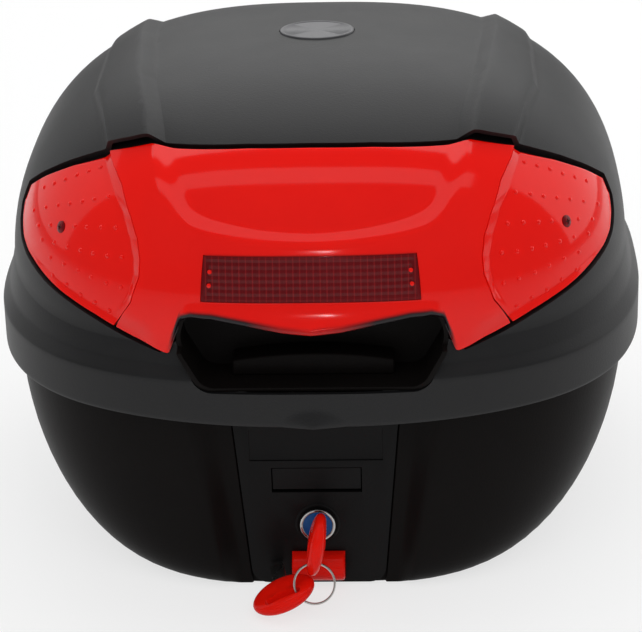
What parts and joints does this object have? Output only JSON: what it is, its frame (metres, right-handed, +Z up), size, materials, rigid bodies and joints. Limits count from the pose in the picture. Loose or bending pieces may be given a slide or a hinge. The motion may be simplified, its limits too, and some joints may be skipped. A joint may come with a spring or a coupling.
{
  "type": "motorcycle top case",
  "caption": "Domed motorcycle top case with a hinged lid, wide red rear lens, finger pocket, push latch, cam lock with keys and a dock release button.",
  "frame": {"origin": "middle of the underside, on the plane that the case stands on, above the middle of the dock pocket", "axes": "+X to the right seen from behind, +Y from the rear face to the hinges, +Z up"},
  "size_m": [0.39, 0.4209, 0.285],
  "materials": {
    "case_black": "fine moulded grain",
    "lid_grey": "fine moulded grain",
    "panel_black": "satin",
    "seal_rubber": "matt",
    "steel": "zinc plated",
    "chrome": "polished",
    "lens_red": "clear moulded, dimpled wings",
    "reflector_red": "prism grid",
    "badge_grey": "satin",
    "face_blue": "gloss",
    "key_red": "gloss"
  },
  "bodies": {
    "base": {"base_shell": "case_black", "lock_panel": "panel_black", "panel_screws": "steel", "rim_seal": "seal_rubber", "base_hinges": "case_black", "hinge_pins": "steel", "lock_body": "chrome", "lock_nut": "steel", "pivot_pin": "steel", "button_spring": "steel"},
    "lid": {"lid_shell": "lid_grey", "finger_pocket": "lid_grey", "grip_bar": "lid_grey", "striker": "steel", "striker_screws": "steel", "lens_centre": "lens_red", "lens_left": "lens_red", "lens_right": "lens_red", "reflector": "reflector_red", "lens_screws": "panel_black", "badge": "badge_grey", "lid_hinges": "case_black", "hinge_screws": "steel"},
    "plug": {"lock_plug": "steel", "plug_face": "face_blue", "lock_cam": "steel", "cam_screw": "steel"},
    "key": {"key_head": "key_red", "key_blade": "steel"},
    "ring": {"key_ring": "chrome"},
    "spare_key": {"spare_key_head": "key_red", "spare_key_blade": "steel"},
    "pad": {"press_pad": "panel_black"},
    "button": {"release_button": "key_red", "release_bolt": "steel"}
  },
  "joints": [
    {"name": "lid_hinge", "type": "hinge", "parent": "base", "child": "lid", "pos_m": [0, 0.199, 0.11], "axis": [-1, 0, 0], "range_deg": [0, 85]},
    {"name": "lock_turn", "type": "hinge", "parent": "base", "child": "plug", "pos_m": [0, -0.167, 0.04], "axis": [0, 1, 0], "range_deg": [0, 90]},
    {"name": "key_pull", "type": "slide", "parent": "plug", "child": "key", "axis": [0, -1, 0], "range_m": [0, 0.03]},
    {"name": "ring_swing", "type": "hinge", "parent": "key", "child": "ring", "pos_m": [-0.00122, -0.1995, 0.03161], "axis": [-1, 0, 0], "range_deg": [0, 35]},
    {"name": "spare_swing", "type": "hinge", "parent": "ring", "child": "spare_key", "pos_m": [-0.00122, -0.20384, 0.02085], "axis": [0, 0.9272, -0.3746], "range_deg": [-5, 0]},
    {"name": "pad_press", "type": "hinge", "parent": "base", "child": "pad", "pos_m": [0, -0.158, 0.08], "axis": [1, 0, 0], "range_deg": [0, 10], "stiffness_Nm_per_rad": 0.3, "springref_deg": -8.59},
    {"name": "button_push", "type": "slide", "parent": "base", "child": "button", "axis": [0, 1, 0], "range_m": [0, 0.006], "stiffness_N_per_m": 400, "springref_m": -0.004, "deforming": ["button_spring"]}
  ]
}
